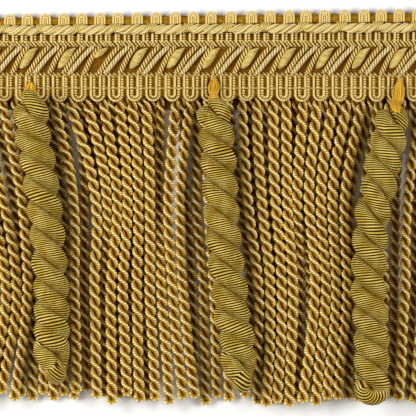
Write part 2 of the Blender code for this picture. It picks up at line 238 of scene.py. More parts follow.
def makePiece(name, parts, material, nodes=()):
    # One mesh from many parts: their loops one after another, each moved up by the points before it
    starts = np.cumsum([0] + [len(part["points"]) for part in parts[:-1]])
    loops = [np.concatenate([part["quads"].ravel(), *part["ends"]]) for part in parts]
    loops = np.concatenate([own + start for own, start in zip(loops, starts)])
    sizes = [[np.full(len(part["quads"]), 4), [len(end) for end in part["ends"]]] for part in parts]
    sizes = np.concatenate([np.concatenate(own) for own in sizes]).astype(int)
    points = np.concatenate([part["points"] for part in parts]) * mm
    uv = np.concatenate([part["uv"] for part in parts])
    tones = np.concatenate([part["tone"] for part in parts])
    mesh = bpy.data.meshes.new(name)
    mesh.vertices.add(len(points))
    mesh.vertices.foreach_set("co", points.astype(np.float32).ravel())
    mesh.loops.add(len(loops))
    mesh.loops.foreach_set("vertex_index", loops.astype(np.int32))
    mesh.polygons.add(len(sizes))
    mesh.polygons.foreach_set("loop_start", np.concatenate([[0], np.cumsum(sizes)[:-1]]).astype(np.int32))
    mesh.polygons.foreach_set("loop_total", sizes.astype(np.int32))
    mesh.polygons.foreach_set("use_smooth", np.ones(len(sizes), bool))
    mesh.uv_layers.new(name="Twist").data.foreach_set("uv", uv.astype(np.float32).ravel())
    mesh.attributes.new("tone", "FLOAT", "POINT").data.foreach_set("value", tones.astype(np.float32))
    mesh.update(calc_edges=True)
    mesh.validate()
    mesh.materials.append(material)
    made = bpy.data.objects.new(name, mesh)
    bpy.context.scene.collection.objects.link(made)
    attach(made, "root")
    if nodes:
        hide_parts(*nodes)
    print(name, "has", int((sizes - 2).sum()), "triangles")
    return made


def twoPly(axis, turn, offset):
    # A ply goes down the axis at offset (side cos t + up sin t), turns back in half a circle, and comes up
    # at t + pi. Returns the path and the way out from the axis.
    along, side, up = levelFrame(axis)
    out = turned(side, up, turn)
    offset = np.broadcast_to(offset, turn.shape)[:, None]
    bend = np.linspace(0, pi, 9)[1:-1, None]
    bendOut = out[-1] * np.cos(bend) + along[-1] * np.sin(bend)
    loop = axis[-1] + offset[-1] * bendOut
    path = np.concatenate([axis + offset * out, loop, (axis - offset * out)[::-1]])
    return path, np.concatenate([out, bendOut, -out[::-1]])


def downAndUp(values):
    # A value along a ply: down one side, 1 in its loop, and up the other
    return np.concatenate([values, np.ones(7), values[::-1]])


# Fringe strands

strands = {
    "top": -15.5,
    "levels": (-19.5, -56.5, -99.0),  # y where the x of each row below holds, above the tip's own
    "pitch": 9.35, "pitchSpread": (0.95, 1.07), "plyRadius": 1.13, "offset": 1.09,
    "tipOffset": 1.13, "tipStart": 5.0, "ringsPerTurn": 12,
    "angles": [0, 17, 34, 75, 125, 180, -125, -75, -34, -17],
    "section": [1.07, 1.03, 0.86, 0.9, 0.93, 0.93, 0.93, 0.9, 0.86, 1.03],
    "highlightAngles": (27.2, 56.6667), "front": 6.75, "behind": 2.27, "root": 1.65,
    "climbY": (-15.0, -18.5, -22.0, -27.0, -33.0),
    "climb": (0.0, 0.0, 0.52, 0.86, 1.0),  # share of the way from the root's height to the row's own
    "middleY": -78.0,  # the layers change half way between the upper and the lower level
    "beforeTip": (24.0, 2.0),  # and again between these distances above the tip
    "squeezeY": {"B": (-33.0, -22.5, -18.5), "F": (-26.0, -21.5, -18.5)},
    "squeeze": (1.0, 0.9, 0.66),  # how far the heading presses the strands together
    "wander": 0.12, "tilt": 0.35, "seed": 11,
    # Real filament turns every 0.3 mm. It is drawn at 1.05 mm, as coarse as it needs to show.
    # In this look the crest colour is a painted highlight, and the crevice and bead gap colours are
    # painted shade
    "look": {
        "body": "#a87204", "bodyPale": "#cc9c12", "pale": "#e0bc4c", "crestHighlight": "#fcea9e",
        "creviceShade": "#4c1a00", "beadShade": "#a07014", "crestFrom": 0.79, "crestTo": 0.84,
        "creviceFrom": 0.28, "creviceTo": 0.62, "beadLength": 1.05, "beadLean": 2.0,
        "beadWander": 0.6, "beadDepth": 0.75, "beadHeight": 0.06, "patchScale": 160.0,
        "roughness": 0.5, "specular": 0.25,
    },
}
# Each row: the layer at the root, upper, lower and tip levels (F in front, B behind), x there, the tip's y
strandRows = """
BBBB -116 -108 -101 -109 -144
FFFF -112 -103.5 -95.5 -103.5 -145
FFFF -106 -97 -89 -97.5 -146.5
FFFF -99.5 -91 -84.5 -91 -143
BBBB -95 -86.5 -82 -82.5 -144.5
FFFF -90.5 -83 -80 -85.5 -146
BBBB -85.5 -80 -77.5 -78 -146
BBBB -81 -75.6 -73 -73.5 -143.5
BBBB -76 -70.8 -68.6 -69 -146
BBBB -71.9 -65.6 -64.35 -64.6 -144
FFFF -69 -61 -60 -59 -143
BBBB -65.5 -60.8 -60.18 -60 -145.5
FFFF -62 -51.5 -51.5 -50.5 -145
BBBB -58.5 -56 -56 -54.5 -142
FFBB -54.5 -46.5 -47.5 -47 -144.5
FFFF -48 -42 -44.5 -44 -147.5
BBBB -44.5 -40 -42 -40.5 -145
FFFF -41 -37.5 -39.5 -37.5 -144
FFFF -35.5 -33 -33.5 -32.5 -146.5
FFFF -29.5 -28 -28 -25.5 -146
BBFF -23.5 -24 -23 -19.5 -147.5
FFFF -17 -20 -18.5 -14 -145.5
BBBB -14.5 -13 -10 -9 -144.5
FFFF -11 -15 -14 -9 -145
BBBB -8 -8.5 -5.5 -4.5 -148
BBBB -4 -3.5 -1 0.5 -145
BBBB 0 1.5 4 5.5 -146.5
BBBB 5.5 9.5 14.5 12.5 -145
FFFB 11 13 18 17.5 -147.5
FFFF 17 19 23 21.5 -148.5
FFFF 24 25 28 26 -147
FFFF 30 30 32.5 31 -148.5
FFBB 37 34.5 36 34 -146
BBBB 40 37.2 40.2 38.4 -144.5
FFFF 43 39.5 42 36.5 -147
BBBB 46.3 42 44.4 42.8 -146.5
FFFF 49.5 44.5 46.5 42 -148
BBBB 52.5 47.2 48.8 47.2 -146.5
FFFF 55.5 49.5 51 47 -145.5
BBBB 58.8 52.3 53 51.6 -144
FFFF 62 55 55.5 51.5 -145.5
BBBB 65.5 57.5 57.3 56 -145.5
BBBB 69 63 61.6 60.4 -146.5
BBBB 73.5 70 71.5 70.5 -146.5
BBBB 79 76.5 76 75 -145
BBBB 84 85 84 82 -146
FFFF 88 81.5 80 77.5 -146
FFFF 94.5 89 88 84 -147
FFFF 100 95 94 90 -145.5
FFFF 106 102 100 96.5 -146.5
FFFF 112.5 109 106.5 103.5 -147.5
BBBB 116 114 112 109 -145
"""
# Between the strands with these roots one more lies half way, in the row behind
filledBetween = [
    (-112, -106), (-106, -99.5), (-41, -35.5), (-35.5, -29.5), (17, 24), (24, 30),
    (94.5, 100), (100, 106), (106, 112.5),
]  # fmt: skip


def readStrands():
    # The rows above as values, with the strands between them, from left to right
    rows = [line.split() for line in strandRows.split("\n") if line]
    read = [(row[0], *[float(value) for value in row[1:]]) for row in rows]
    byRoot = {row[1]: row for row in read}
    for left, right in filledBetween:
        middle = [(a + b) / 2 for a, b in zip(byRoot[left][1:], byRoot[right][1:])]
        read.append(("BBBB", *middle))
    return sorted(read, key=lambda row: row[1])


def strandHeight(y, layers, reach):
    # The height climbs from the root to the first layer, and changes from layer to layer half way between
    # the levels. A bell-shaped mean of 17 points rounds it.
    root = strands["root"]
    heights = [strands["front"] if layer == "F" else strands["behind"] for layer in layers]
    means = [(heights[1] + heights[2]) / 2, (heights[2] + heights[3]) / 2]
    values = [root + share * (heights[0] - root) for share in strands["climb"]]
    values += [heights[1], means[0], heights[2], means[1], heights[3], heights[3]]
    upper, lower = strands["levels"][1:]
    far, near = strands["beforeTip"]
    levels = [*strands["climbY"], upper, strands["middleY"], lower, reach + far, reach + near, reach]
    z = np.interp(y, levels[::-1], values[::-1])
    bell = np.hanning(17)
    return np.convolve(np.pad(z, 8, mode="edge"), bell / bell.sum(), mode="valid")


def strandPart(row, random):
    # x and z run smoothly through the strand's levels, and its turn is 2 pi (y - end) / pitch + tilt
    layers, root, upper, lower, tip, reach = row
    sizes = strands
    pitch = sizes["pitch"] * random.uniform(*sizes["pitchSpread"])
    end = reach + sizes["tipOffset"] + sizes["plyRadius"]
    y = np.linspace(sizes["top"], end, int((sizes["top"] - end) / pitch * sizes["ringsPerTurn"]))
    levels = [*sizes["levels"], reach]
    x = through(levels, [root, upper, lower, tip], np.minimum(y, levels[0]))
    x = x + sizes["wander"] * np.sin(y / random.uniform(5, 9) + random.uniform(0, 6))
    squeezed = np.interp(y, sizes["squeezeY"][layers[0]], sizes["squeeze"])
    near = np.clip((end + sizes["tipStart"] - y) / sizes["tipStart"], 0, 1) ** 2
    offset = squeezed * (sizes["offset"] + (sizes["tipOffset"] - sizes["offset"]) * near)
    tilt = random.choice([0.0, pi]) + random.uniform(-sizes["tilt"], sizes["tilt"])
    turn = 2 * pi * (y - end) / pitch + tilt
    # The plies cross quickly in front and lie side by side longer: turn - 0.2 sin(2 turn)
    turn = turn - 0.2 * np.sin(2 * turn)
    path, outward = twoPly(np.stack([x, y, strandHeight(y, layers, reach)], -1), turn, offset)
    radius = sizes["plyRadius"] * downAndUp(squeezed)[:, None] * np.array(sizes["section"])
    # The painted highlight spreads from 27 degrees a side in front to 57 where the plies lie side by
    # side: the section's third point moves from 34 degrees to there, and the others keep their share of
    # the rest
    narrow, wide = sizes["highlightAngles"]
    widest = narrow + (wide - narrow) * downAndUp(np.cos(turn) ** 2)[:, None]
    edge = sizes["angles"][2]
    angle = np.abs(np.array(sizes["angles"]))
    rest = widest + (angle - edge) * (180 - widest) / (180 - edge)
    angle = np.radians(np.where(angle <= edge, angle * widest / edge, rest) * np.sign(sizes["angles"]))
    around = np.mod(np.array(sizes["angles"]) / 360, 1)
    return tube(path, outward, radius, angle, random.uniform(0, 0.2), around)


def makeStrands():
    random = np.random.default_rng(strands["seed"])
    parts = [strandPart(row, random) for row in readStrands()]
    material = threadMaterial("twistedRayonYarn", strands["look"])
    third = len(parts) // 3
    makePiece("strandsLeft", parts[:third], material, ["fringe_skirt"])
    makePiece("strandsMiddle", parts[third : 2 * third], material)
    makePiece("strandsRight", parts[2 * third :], material)
    return material


# A few strands lie deepest and show only as the dark between the others, in the strands' colours
# darkened as painted shade
deepStrands = {
    "ringsPerTurn": 7, "sides": 10, "tipShort": 4.0, "seed": 21,
    # x at the root, upper, lower and tip levels, and the tip's y
    "rows": [
        (-56.8, -51.2, -51.8, -50.8, -142.0),
        (-51.2, -44.6, -44.6, -44.0, -142.0),
        (-26.6, -28.2, -28.0, -25.5, -142.0),
        (14.0, 16.0, 20.5, 20.6, -142.0),
        (33.6, 32.2, 32.8, 31.2, -142.0),
    ],
    # The strands' own colours darkened: painted shade for the row that lies deepest
    "look": dict(strands["look"], body="#8a5804", bodyPale="#a0700c", crestHighlight="#d0ac54", creviceShade="#3a1400"),
}


def deepPart(row, random):
    # One skin over both plies, turning with them: r = offset |cos a| + sqrt(radius^2 - (offset sin a)^2)
    root, upper, lower, tip, reach = row
    offset, pitch, top = strands["offset"], strands["pitch"], strands["top"]
    end = reach + deepStrands["tipShort"]
    y = np.linspace(top, end, int((top - end) / pitch * deepStrands["ringsPerTurn"]))
    levels = [*strands["levels"], reach]
    x = through(levels, [root, upper, lower, tip], np.minimum(y, levels[0]))
    z = np.interp(y, [-27.0, -18.5], [strands["behind"], strands["root"]])
    axis = np.stack([x, y, z], -1)
    side, up = levelFrame(axis)[1:]
    outward = turned(side, up, 2 * pi * y / pitch + random.uniform(0, pi))
    angle = 2 * pi * np.arange(deepStrands["sides"]) / deepStrands["sides"]
    inner = strands["plyRadius"] ** 2 - (offset * np.sin(angle)) ** 2
    radius = offset * np.abs(np.cos(angle)) + np.sqrt(inner)
    squeezed = np.interp(y, strands["squeezeY"]["B"], strands["squeeze"])
    return tube(axis, outward, squeezed[:, None] * radius, angle, around=np.abs(angle - pi) / pi)


# The strands are sewn along a tape, and its lower edge closes the gaps between their roots
rootTape = {"tape": (-17.6, -14.3, 0.0, 3.1), "edge": (-22.5, -17.0, 0.0, 0.8)}


def makeDeepStrands(yarn):
    look = deepStrands["look"]
    seeds = deepStrands["seed"] + np.arange(len(deepStrands["rows"]))
    deep = [deepPart(row, np.random.default_rng(seed)) for row, seed in zip(deepStrands["rows"], seeds)]
    makePiece("deepStrands", deep, threadMaterial("twistedRayonYarnPaintedShade", look))
    boxes = [boxPart(-halfLength, halfLength, *rootTape[part]) for part in ("tape", "edge")]
    makePiece("rootTape", boxes, yarn)


# Drops

drops = {
    "plyRadius": 3.9, "offset": 3.85,
    # The real thread is 0.4 mm thick, and three turns of it are drawn as one ridge so that they show
    "ridge": 1.27,
    "ridgeShares": (0.0, 0.22, 0.5, 0.78),  # places along one ridge, and how deep each lies
    "ridgeLevels": (1.0, 0.12, 0.0, 0.12), "uneven": 0.16, "sides": 22, "lean": -0.73,
    "shearAngles": (0, 95, 150, 180), "shear": (0.0, 1.66, 1.85, 0.0), "straightEnds": 6.0,
    "endMargin": 2.0, "depth": 0.34,
    "bedY": (-27.0, -19.5),  # the bed of strands is higher near the heading
    "bed": (4.55, 5.15),
    "tieLength": 9.0,  # the ply's top is drawn in by the tie over this length
    "tieOffset": 0.62, "tieRadius": 0.5, "tieDrop": 1.2, "seed": 5,
    "look": {
        "ridge": "#caa638", "ridgePale": "#eace6a", "contactShade": "#86682a", "grooveShade": "#2a1000",
        "patchScale": 220.0, "roughness": 0.5, "specular": 0.25,
    },
}
# Each drop: top and bottom y in mm, the turn at its loop in half turns, and two things in pixels of the
# photo: the rows where its plies lie side by side, and columns and rows down its middle
dropRows = [
    {
        "top": -15.3, "bottom": -139.0, "endTurn": -0.45,
        "lobes": [115, 137, 160, 185, 210, 235, 262, 287, 310, 330, 347],
        "line": [(31.5, 93), (31.5, 115), (33.5, 135), (38, 158), (41.5, 184), (45.5, 210), (48, 235),
                 (50, 262), (52, 287), (52.5, 310), (52.5, 330), (52, 347), (56, 365), (57, 383)],
    },
    {
        "top": -18.3, "bottom": -142.8, "endTurn": -0.45,
        "lobes": [114, 138, 162, 188, 213, 238, 263, 290, 315, 338, 357],
        "line": [(211, 98), (213.5, 114), (216.5, 138), (218.5, 162), (220, 188), (221.5, 213),
                 (223.5, 238), (226, 263), (230, 290), (232, 315), (237, 338), (238, 355), (240, 370),
                 (245, 392)],
    },
    {
        "top": -21.3, "bottom": -147.9, "endTurn": -1.0,
        "lobes": [120, 142, 164, 187, 213, 240, 265, 291, 315, 340, 360],
        "line": [(394, 106), (391, 120), (387.5, 142), (382.5, 163), (378.5, 187), (372, 213),
                 (369.5, 238), (368.5, 265), (368, 290), (369.5, 315), (371, 340), (371, 360),
                 (371.5, 377)],
    },
]  # fmt: skip


def windingMaterial():
    # Rayon thread wound round a core. It gives the eye pale ridges with painted shade in the grooves
    # between them on the open side, and painted shade where the plies meet. Here u counts the ridges.
    look = drops["look"]
    made, add, setShader = startMaterial("woundRayonThread")
    u, outward = twistCoordinates(add)[:2]
    ridge = mottledColour(add, look["ridge"], look["ridgePale"], look["patchScale"], 3.0)[1]
    share = add("Math", {0: u}, operation="FRACT")
    share = add("Math", {0: share, 1: 0.5}, operation="SUBTRACT")
    fromRidge = add("Math", {0: share}, operation="ABSOLUTE")
    openSide = add("MapRange", {0: outward, 1: 0.2, 2: 0.45}, **smoothRange)
    # Painted shade in the grooves between the wound turns, fainter where the plies meet
    grooveShade = add("MapRange", {0: fromRidge, 1: 0.13, 2: 0.31}, **smoothRange)
    fading = add("Math", {0: openSide, 1: 0.75, 2: 0.25}, operation="MULTIPLY_ADD")
    grooveShade = add("Math", {0: grooveShade, 1: fading}, operation="MULTIPLY")
    # Painted shade where the plies meet: away from the open side the colour turns darker
    colour = add("Mix", {0: openSide, 6: look["contactShade"], 7: ridge}, **colourMix)
    colour = add("Mix", {0: grooveShade, 6: colour, 7: look["grooveShade"]}, **colourMix)
    # Painted shade, deepest at the inner side
    inner = add("MapRange", {0: outward, 1: 0.0, 2: 0.22, 3: 1.0, 4: 0.0}, **smoothRange)
    colour = add("Mix", {0: inner, 6: colour, 7: look["grooveShade"]}, **colourMix)
    setShader({"Base Color": colour, "Roughness": look["roughness"]})
    setShader({"Specular IOR Level": look["specular"], "Specular Tint": look["ridgePale"]})
    return made


def dropPlies(row):
    # The ply's turn is -pi k at lobe k, and runs on at the same pitch above and to the end turn below. The
    # tie draws the top in. Returns the ply's path, the way out and its radius.
    sizes = drops
    columns, rows = np.array(row["line"], float).T
    lineX, lineY = fromColumn(columns), fromRow(rows)
    lobes = fromRow(row["lobes"])
    reach = sizes["plyRadius"] + sizes["offset"]
    end = row["bottom"] + reach
    y = np.linspace(row["top"] - 1.5, end, 1500)
    turn = -pi * through(lobes, np.arange(len(lobes)), np.clip(y, lobes[-1], lobes[0]))
    turn = turn + pi * np.maximum(y - lobes[0], 0) / (lobes[0] - lobes[1])
    turn = turn + row["endTurn"] * pi * np.clip((lobes[-1] - y) / (lobes[-1] - end), 0, 1)
    x = through(lineY, lineX, np.clip(y, lineY.min(), lineY.max()))
    dip = np.clip((y - (row["top"] - sizes["tieLength"])) / sizes["tieLength"], 0, 1) ** 2
    small = 1 - sizes["tieOffset"] * dip
    z = np.interp(y, sizes["bedY"], sizes["bed"]) + reach * small - sizes["tieDrop"] * dip
    path, outward = twoPly(np.stack([x, y, z], -1), turn, sizes["offset"] * small)
    return path, outward, sizes["plyRadius"] * downAndUp(1 - sizes["tieRadius"] * dip)


def dropPart(row, random):
    # Rings lie at a few shares of each ridge, and the ridges are a little uneven. A ring's place at the
    # angle a moves along the ply by lean x radius x shear(a), so that ridges lean less than the twist.
    sizes = drops
    path, outward, radius = dropPlies(row)
    distance = lengthAlong(path)
    firstWay, secondWay = pathFrame(path, outward)[1:]
    ridges = int(distance[-1] / sizes["ridge"])
    drawn = np.convolve(random.normal(size=ridges + 4), np.ones(4) / 2, mode="valid")[:ridges]
    edges = np.concatenate([[0], np.cumsum(1 + sizes["uneven"] * drawn)])
    edges = edges / edges[-1] * (distance[-1] - 2 * sizes["endMargin"]) + sizes["endMargin"]
    ridge = (np.arange(ridges)[:, None] + np.array(sizes["ridgeShares"])).ravel()
    place = np.interp(ridge, np.arange(ridges + 1), edges)
    angle = 2 * pi * np.arange(sizes["sides"]) / sizes["sides"]
    signed = np.mod(angle + pi, 2 * pi) - pi
    shear = np.sign(signed) * np.interp(np.abs(signed), np.radians(sizes["shearAngles"]), sizes["shear"])
    middle = np.clip(np.minimum(place, distance[-1] - place) / sizes["straightEnds"], 0, 1)
    shifted = place[:, None] + sizes["lean"] * sizes["plyRadius"] * shear * middle[:, None]
    shifted = np.clip(shifted, 0, distance[-1])

    def sampled(values):
        return np.stack([np.interp(shifted, distance, values[:, c]) for c in range(3)], -1)

    lowered = np.tile(sizes["ridgeLevels"], ridges)[:, None]
    depth = np.maximum(sizes["depth"] * (0.45 + 0.55 * np.cos(angle)), 0.04)
    ringRadius = np.interp(shifted, distance, radius) - lowered * depth
    first = unit(sampled(firstWay)) * np.cos(angle)[:, None]
    second = unit(sampled(secondWay)) * np.sin(angle)[:, None]
    return ringPart(sampled(path) + ringRadius[..., None] * (first + second), ridge)


def makeDrops():
    random = np.random.default_rng(drops["seed"])
    material = windingMaterial()
    for number, row in enumerate(dropRows, 1):
        makePiece(f"drop{number}", [dropPart(row, random)], material, [f"drop_{number}"])


# Heading

heading = {
    "bottom": -19.1, "scallopDepth": 1.9, "firstScallop": 0.625, "drift": 0.013, "driftFrom": 4.4,
    "driftOver": 14.2,
}
ground = {
    # The face's section from the picots down, as y and height, above and below the scalloped edge
    "face": [(17.6, 0.0), (17.6, 1.6), (14.6, 2.3), (14.1, 1.3), (9.4, 1.3), (8.9, 2.7), (4.9, 2.7),
             (4.4, 1.9), (-7.2, 1.9), (-7.9, 3.9), (-12.9, 3.9), (-13.3, 3.6), (-13.7, 3.9)],
    "edge": (3.9, 3.4),
    "back": [(-14.0, 3.4), (-14.0, 0.0)],
    # The court colour below is painted shade, laid over the bare court and in the weft's hollows
    "edgeMargin": 0.6, "columns": 475, "colour": "#a06c0a", "pale": "#c49428", "court": "#8c5a0a",
    "courtLow": (-7.8, -7.0),  # the bare court under the bundles lies between these y
    "courtHigh": (3.8, 4.6), "courtShare": 0.8,
    # Real weft lies 0.4 mm apart. It is drawn at 0.98 mm so that it shows.
    "weft": 0.98, "weftShare": 0.45, "weftHeight": 0.12, "patchScale": 500.0,
    "patchStretch": (0.5, 1.6, 1.0), "roughness": 0.7, "specular": 0.1,
}  # fmt: skip
gimpThread = {
    "crimp": 0.98,  # from one crimp to the next
    "step": 0.245,
    # Here too the crest colour is a painted highlight, and the crevice and bead gap colours are painted
    # shade
    "look": {
        "body": "#b0801c", "bodyPale": "#c89c38", "pale": "#ceac48", "crestHighlight": "#ecd488",
        "beadShade": "#80520a", "creviceShade": "#643c06", "crestFrom": 0.55, "crestTo": 0.9,
        "creviceFrom": 0.1, "creviceTo": 0.5, "beadLength": 0.98, "beadLean": 0.0,
        "beadWander": 0.35, "beadDepth": 0.95, "beadHeight": 0.03, "patchScale": 350.0,
        "roughness": 0.45, "specular": 0.3,
    },
}


def placesOf(columns, pitch):
    # Places along the trim from columns of the photo, carried on at the same pitch to the cut ends
    x = fromColumn(columns)
    before = np.arange(x[0] - pitch, -halfLength - pitch, -pitch)[::-1]
    after = np.arange(x[-1] + pitch, halfLength + pitch, pitch)
    return np.concatenate([before, x, after])


def headingBottom(x):
    # y = bottom + depth (1 - |cos(pi ((x + half length) / scallop - first))|)
    phase = (x + halfLength) / scallop - heading["firstScallop"]
    return heading["bottom"] + heading["scallopDepth"] * (1 - np.abs(np.cos(pi * phase)))


def drifted(x, y):
    # The heading's upper part leans up to the right: y + 0.013 x (y - 4.4) / 14.2
    return y + heading["drift"] * x * np.clip((y - heading["driftFrom"]) / heading["driftOver"], 0, 1)


def groundMaterial():
    # Cotton weft woven over a warp. It gives the eye dull amber lines along the trim, with painted shade
    # in the weft's hollows and, darkest, over the bare court under the bundles
    made, add, setShader = startMaterial("wovenCottonGround")
    patches = ground["patchScale"], 2.0, ground["patchStretch"]
    colour = mottledColour(add, ground["colour"], ground["pale"], *patches)[1]
    across = add("SeparateXYZ", {0: add("TexCoord", output="Object")}, 1)
    low, lowTo = np.array(ground["courtLow"]) * mm
    high, highTo = np.array(ground["courtHigh"]) * mm
    # Painted shade over the bare court, where the bundles shade the ground
    over = add("MapRange", {0: across, 1: low, 2: lowTo}, **smoothRange)
    under = add("MapRange", {0: across, 1: high, 2: highTo, 3: 1.0, 4: 0.0}, **smoothRange)
    court = add("Math", {0: over, 1: under}, operation="MULTIPLY")
    court = add("Math", {0: court, 1: ground["courtShare"]}, operation="MULTIPLY")
    colour = add("Mix", {0: court, 6: colour, 7: ground["court"]}, **colourMix)
    turns = add("Math", {0: across, 1: 2 * pi / (ground["weft"] * mm)}, operation="MULTIPLY")
    weft = add("Math", {0: turns}, operation="SINE")
    # Painted shade in the hollows between the weft threads
    hollowShade = add("MapRange", {0: weft, 1: -1.0, 2: 0.2, 3: ground["weftShare"], 4: 0.0}, **smoothRange)
    colour = add("Mix", {0: hollowShade, 6: colour, 7: ground["court"]}, **colourMix)
    bump = add("Bump", {"Height": weft, "Distance": ground["weftHeight"] * mm, "Strength": 1.0})
    setShader({"Base Color": colour, "Roughness": ground["roughness"], "Normal": bump})
    setShader({"Specular IOR Level": ground["specular"]})
    return made


def makeGround():
    # Each column is a closed section: the back at z = 0, and the face's rows of heights above it
    x = np.linspace(-halfLength, halfLength, ground["columns"])
    low = headingBottom(x) + ground["edgeMargin"]
    rows = [*ground["face"], *[(low, z) for z in ground["edge"]], *ground["back"]]
    points = [np.stack([x, drifted(x, y + 0 * x), z + 0 * x], -1) for y, z in rows[::-1]]
    part = ringPart(np.stack(points, 1), np.linspace(0, 1, len(x)))
    made = makePiece("headingGround", [part], groundMaterial(), ["heading_band"])


def inside(x, margin=0.0):
    # Whether every x lies within the cut ends by the margin
    return np.abs(x).max() < halfLength - margin


def straightThread(start, end, z, radius, tone=0.5, crimp=0.0, arch=0.3):
    # A straight stitch, arched by arch sin(pi t), and crimped by radius (1 + crimp sin(2 pi s / 0.98))
    (x0, y0), (x1, y1) = start, end
    length = np.hypot(x1 - x0, y1 - y0)
    t = np.linspace(0, 1, max(int(length / (gimpThread["step"] if crimp else 0.5)), 5))
    x, y = x0 + (x1 - x0) * t, y0 + (y1 - y0) * t
    path = np.stack([x, drifted(x, y), z + arch * np.sin(pi * t)], -1)
    swelling = crimp * np.sin(2 * pi * length * t / gimpThread["crimp"])
    return tube(path, facingUp(path), radius * (1 + swelling), 7, tone)


# Lower gimp: pairs of U threads in each scallop, short stitches over their tops and one thread across them
lowerGimp = {
    "top": -7.9,
    "outer": {"half": 2.75, "bottom": -18.55, "smoothSide": -1},
    "inner": {"half": 1.28, "bottom": -17.2, "smoothSide": 1},
    "radius": 0.66, "height": 4.4, "wander": 0.1, "acrossY": -13.3, "acrossHeight": 4.55,
    "acrossRadius": 0.3, "stitchPitch": 1.975, "stitchRadius": 0.34, "stitchWander": 0.15,
    "cutBottom": -17.4, "seed": 3,
}


def uThread(centre, half, bottom, radius, smoothSide):
    # Down one side, half a circle round the bottom, and up the other. The side that isn't smooth is
    # crimped: radius (1.08 + 0.24 sin(2 pi s / 0.98)). It dips under the thread across and at its top.
    top = lowerGimp["top"]
    turnY = bottom + half
    leg, bend = top - turnY, pi * half
    place = np.arange(0, 2 * leg + bend, gimpThread["step"])
    angle = np.clip((place - leg) / half, 0, pi)
    x = -half * np.cos(angle)
    past = np.maximum(place - leg - bend, 0)
    y = np.where(place < leg, top - place, turnY - half * np.sin(angle) + past)
    dip = 0.4 * np.exp(-(((y - lowerGimp["acrossY"]) / 0.6) ** 2))
    dip = dip + 0.7 * np.clip((y - top + 1.2) / 1.2, 0, 1)
    smooth = np.clip(0.5 + 0.9 * smoothSide * x / half, 0, 1)
    path = np.stack([centre + x, y, lowerGimp["height"] - dip], -1)
    crimp = 0.24 * (1 - smooth) * np.sin(2 * pi * place / gimpThread["crimp"])
    return tube(path, facingUp(path), radius * (1.08 - 0.26 * smooth + crimp), 8, 0.85 * smooth)


def cutUThread(centre, half):
    # Where the trim is cut through a U, only the legs inside the cut are left, one smooth and one crimped
    legs = []
    for x, tone, crimp in ((centre - half, 0.8, 0.0), (centre + half, 0.1, 0.22)):
        if inside(x, 0.7):
            ends = (x, lowerGimp["top"]), (x, lowerGimp["cutBottom"])
            legs.append(straightThread(*ends, 4.1, lowerGimp["radius"], tone, crimp))
    return legs


def makeLowerGimp(material, random):
    sizes = lowerGimp
    parts = []
    for centre in -halfLength + scallop * (heading["firstScallop"] + np.arange(-1, 31)):
        for thread in (sizes["outer"], sizes["inner"]):
            half = thread["half"]
            if abs(centre) + half + 0.7 < halfLength:
                wander = sizes["wander"] * random.normal(size=3)
                bottom, radius = thread["bottom"] + wander[1], sizes["radius"] + wander[2] / 3
                parts.append(uThread(centre + wander[0], half, bottom, radius, thread["smoothSide"]))
            else:
                parts += cutUThread(centre, half)
        for k in range(4):
            x = centre - 2.9 + sizes["stitchPitch"] * k + random.normal() * sizes["stitchWander"]
            if inside(np.array([x, x + 1.5]), 0.5):
                stitch = (x, -6.9), (x + 1.3, -8.4)
                parts.append(straightThread(*stitch, 3.9, sizes["stitchRadius"], 0.2, arch=0.5))
    # The thread across rises over each pair of legs: height + 0.12 cos(2 pi x / pitch)
    x = np.linspace(-halfLength + 0.4, halfLength - 0.4, 480)
    z = sizes["acrossHeight"] + 0.12 * np.cos(2 * pi * x / sizes["stitchPitch"])
    path = np.stack([x, sizes["acrossY"] + 0 * x, z], -1)
    parts.append(tube(path, facingUp(path), sizes["acrossRadius"], 6, 0.2))
    makePiece("lowerGimpThreads", parts, material)


# Picots: two loops, one in the other, and a short stitch between their legs
picotLoops = {
    "columns": [10, 27.5, 45.5, 64, 82, 100, 118, 137.3, 156.3, 175.3, 193.5, 211, 231, 251.5, 270, 289,
                306, 324.5, 345, 364, 381, 399],  # of the photo
    "pitch": 7.9,
    "loops": [{"half": 1.95, "radius": 0.52, "tone": 0.8}, {"half": 0.9, "radius": 0.45, "tone": 0.95}],
    "foot": 14.0, "leg": 2.9, "height": 2.7,
    "stitch": {"from": 14.1, "to": 17.5, "height": 2.5, "radius": 0.45, "tone": 0.35, "crimp": 0.2},
}  # fmt: skip


def makePicots(material):
    # Up one leg from the foot, half a circle round the top, and down the other
    foot, leg, stitch = picotLoops["foot"], picotLoops["leg"], picotLoops["stitch"]
    parts = []
    for centre in placesOf(picotLoops["columns"], picotLoops["pitch"]):
        for loop in picotLoops["loops"]:
            half = loop["half"]
            if not inside(np.array([centre - half, centre + half]), 0.6):
                continue
            place = np.arange(0, 2 * leg + pi * half, 0.3)
            angle = np.clip((place - leg) / half, 0, pi)
            x = centre - half * np.cos(angle)
            past = np.maximum(place - leg - pi * half, 0)
            y = np.where(place < leg, foot + place, foot + leg + half * np.sin(angle) - past)
            path = np.stack([x, drifted(x, y), picotLoops["height"] + 0 * x], -1)
            parts.append(tube(path, facingUp(path), loop["radius"], 7, loop["tone"]))
        if inside(centre, 1.0):
            ends = (centre, stitch["from"]), (centre, stitch["to"])
            shape = stitch["height"], stitch["radius"], stitch["tone"], stitch["crimp"]
            parts.append(straightThread(*ends, *shape, arch=0.1))
    makePiece("picotLoops", parts, material)


# Upper gimp: upright threads under the edge cord, smooth and crimped by turns, and leaning stitches below
upperGimp = {
    "pitch": 3.95, "count": 60,
    "upright": {"from": 9.9, "to": 6.3, "height": 3.1, "radius": 0.58, "arch": 0.35, "wander": 0.12},
    "threads": [{"shift": 0.8, "tone": 0.75, "crimp": 0.0}, {"shift": 2.3, "tone": 0.0, "crimp": 0.25}],
    "stitchPitch": 1.6, "stitchCount": 148,
    "stitch": {"from": 6.9, "to": 4.5, "lean": 2.1, "radius": 0.42, "arch": 0.4, "wander": 0.15},
}


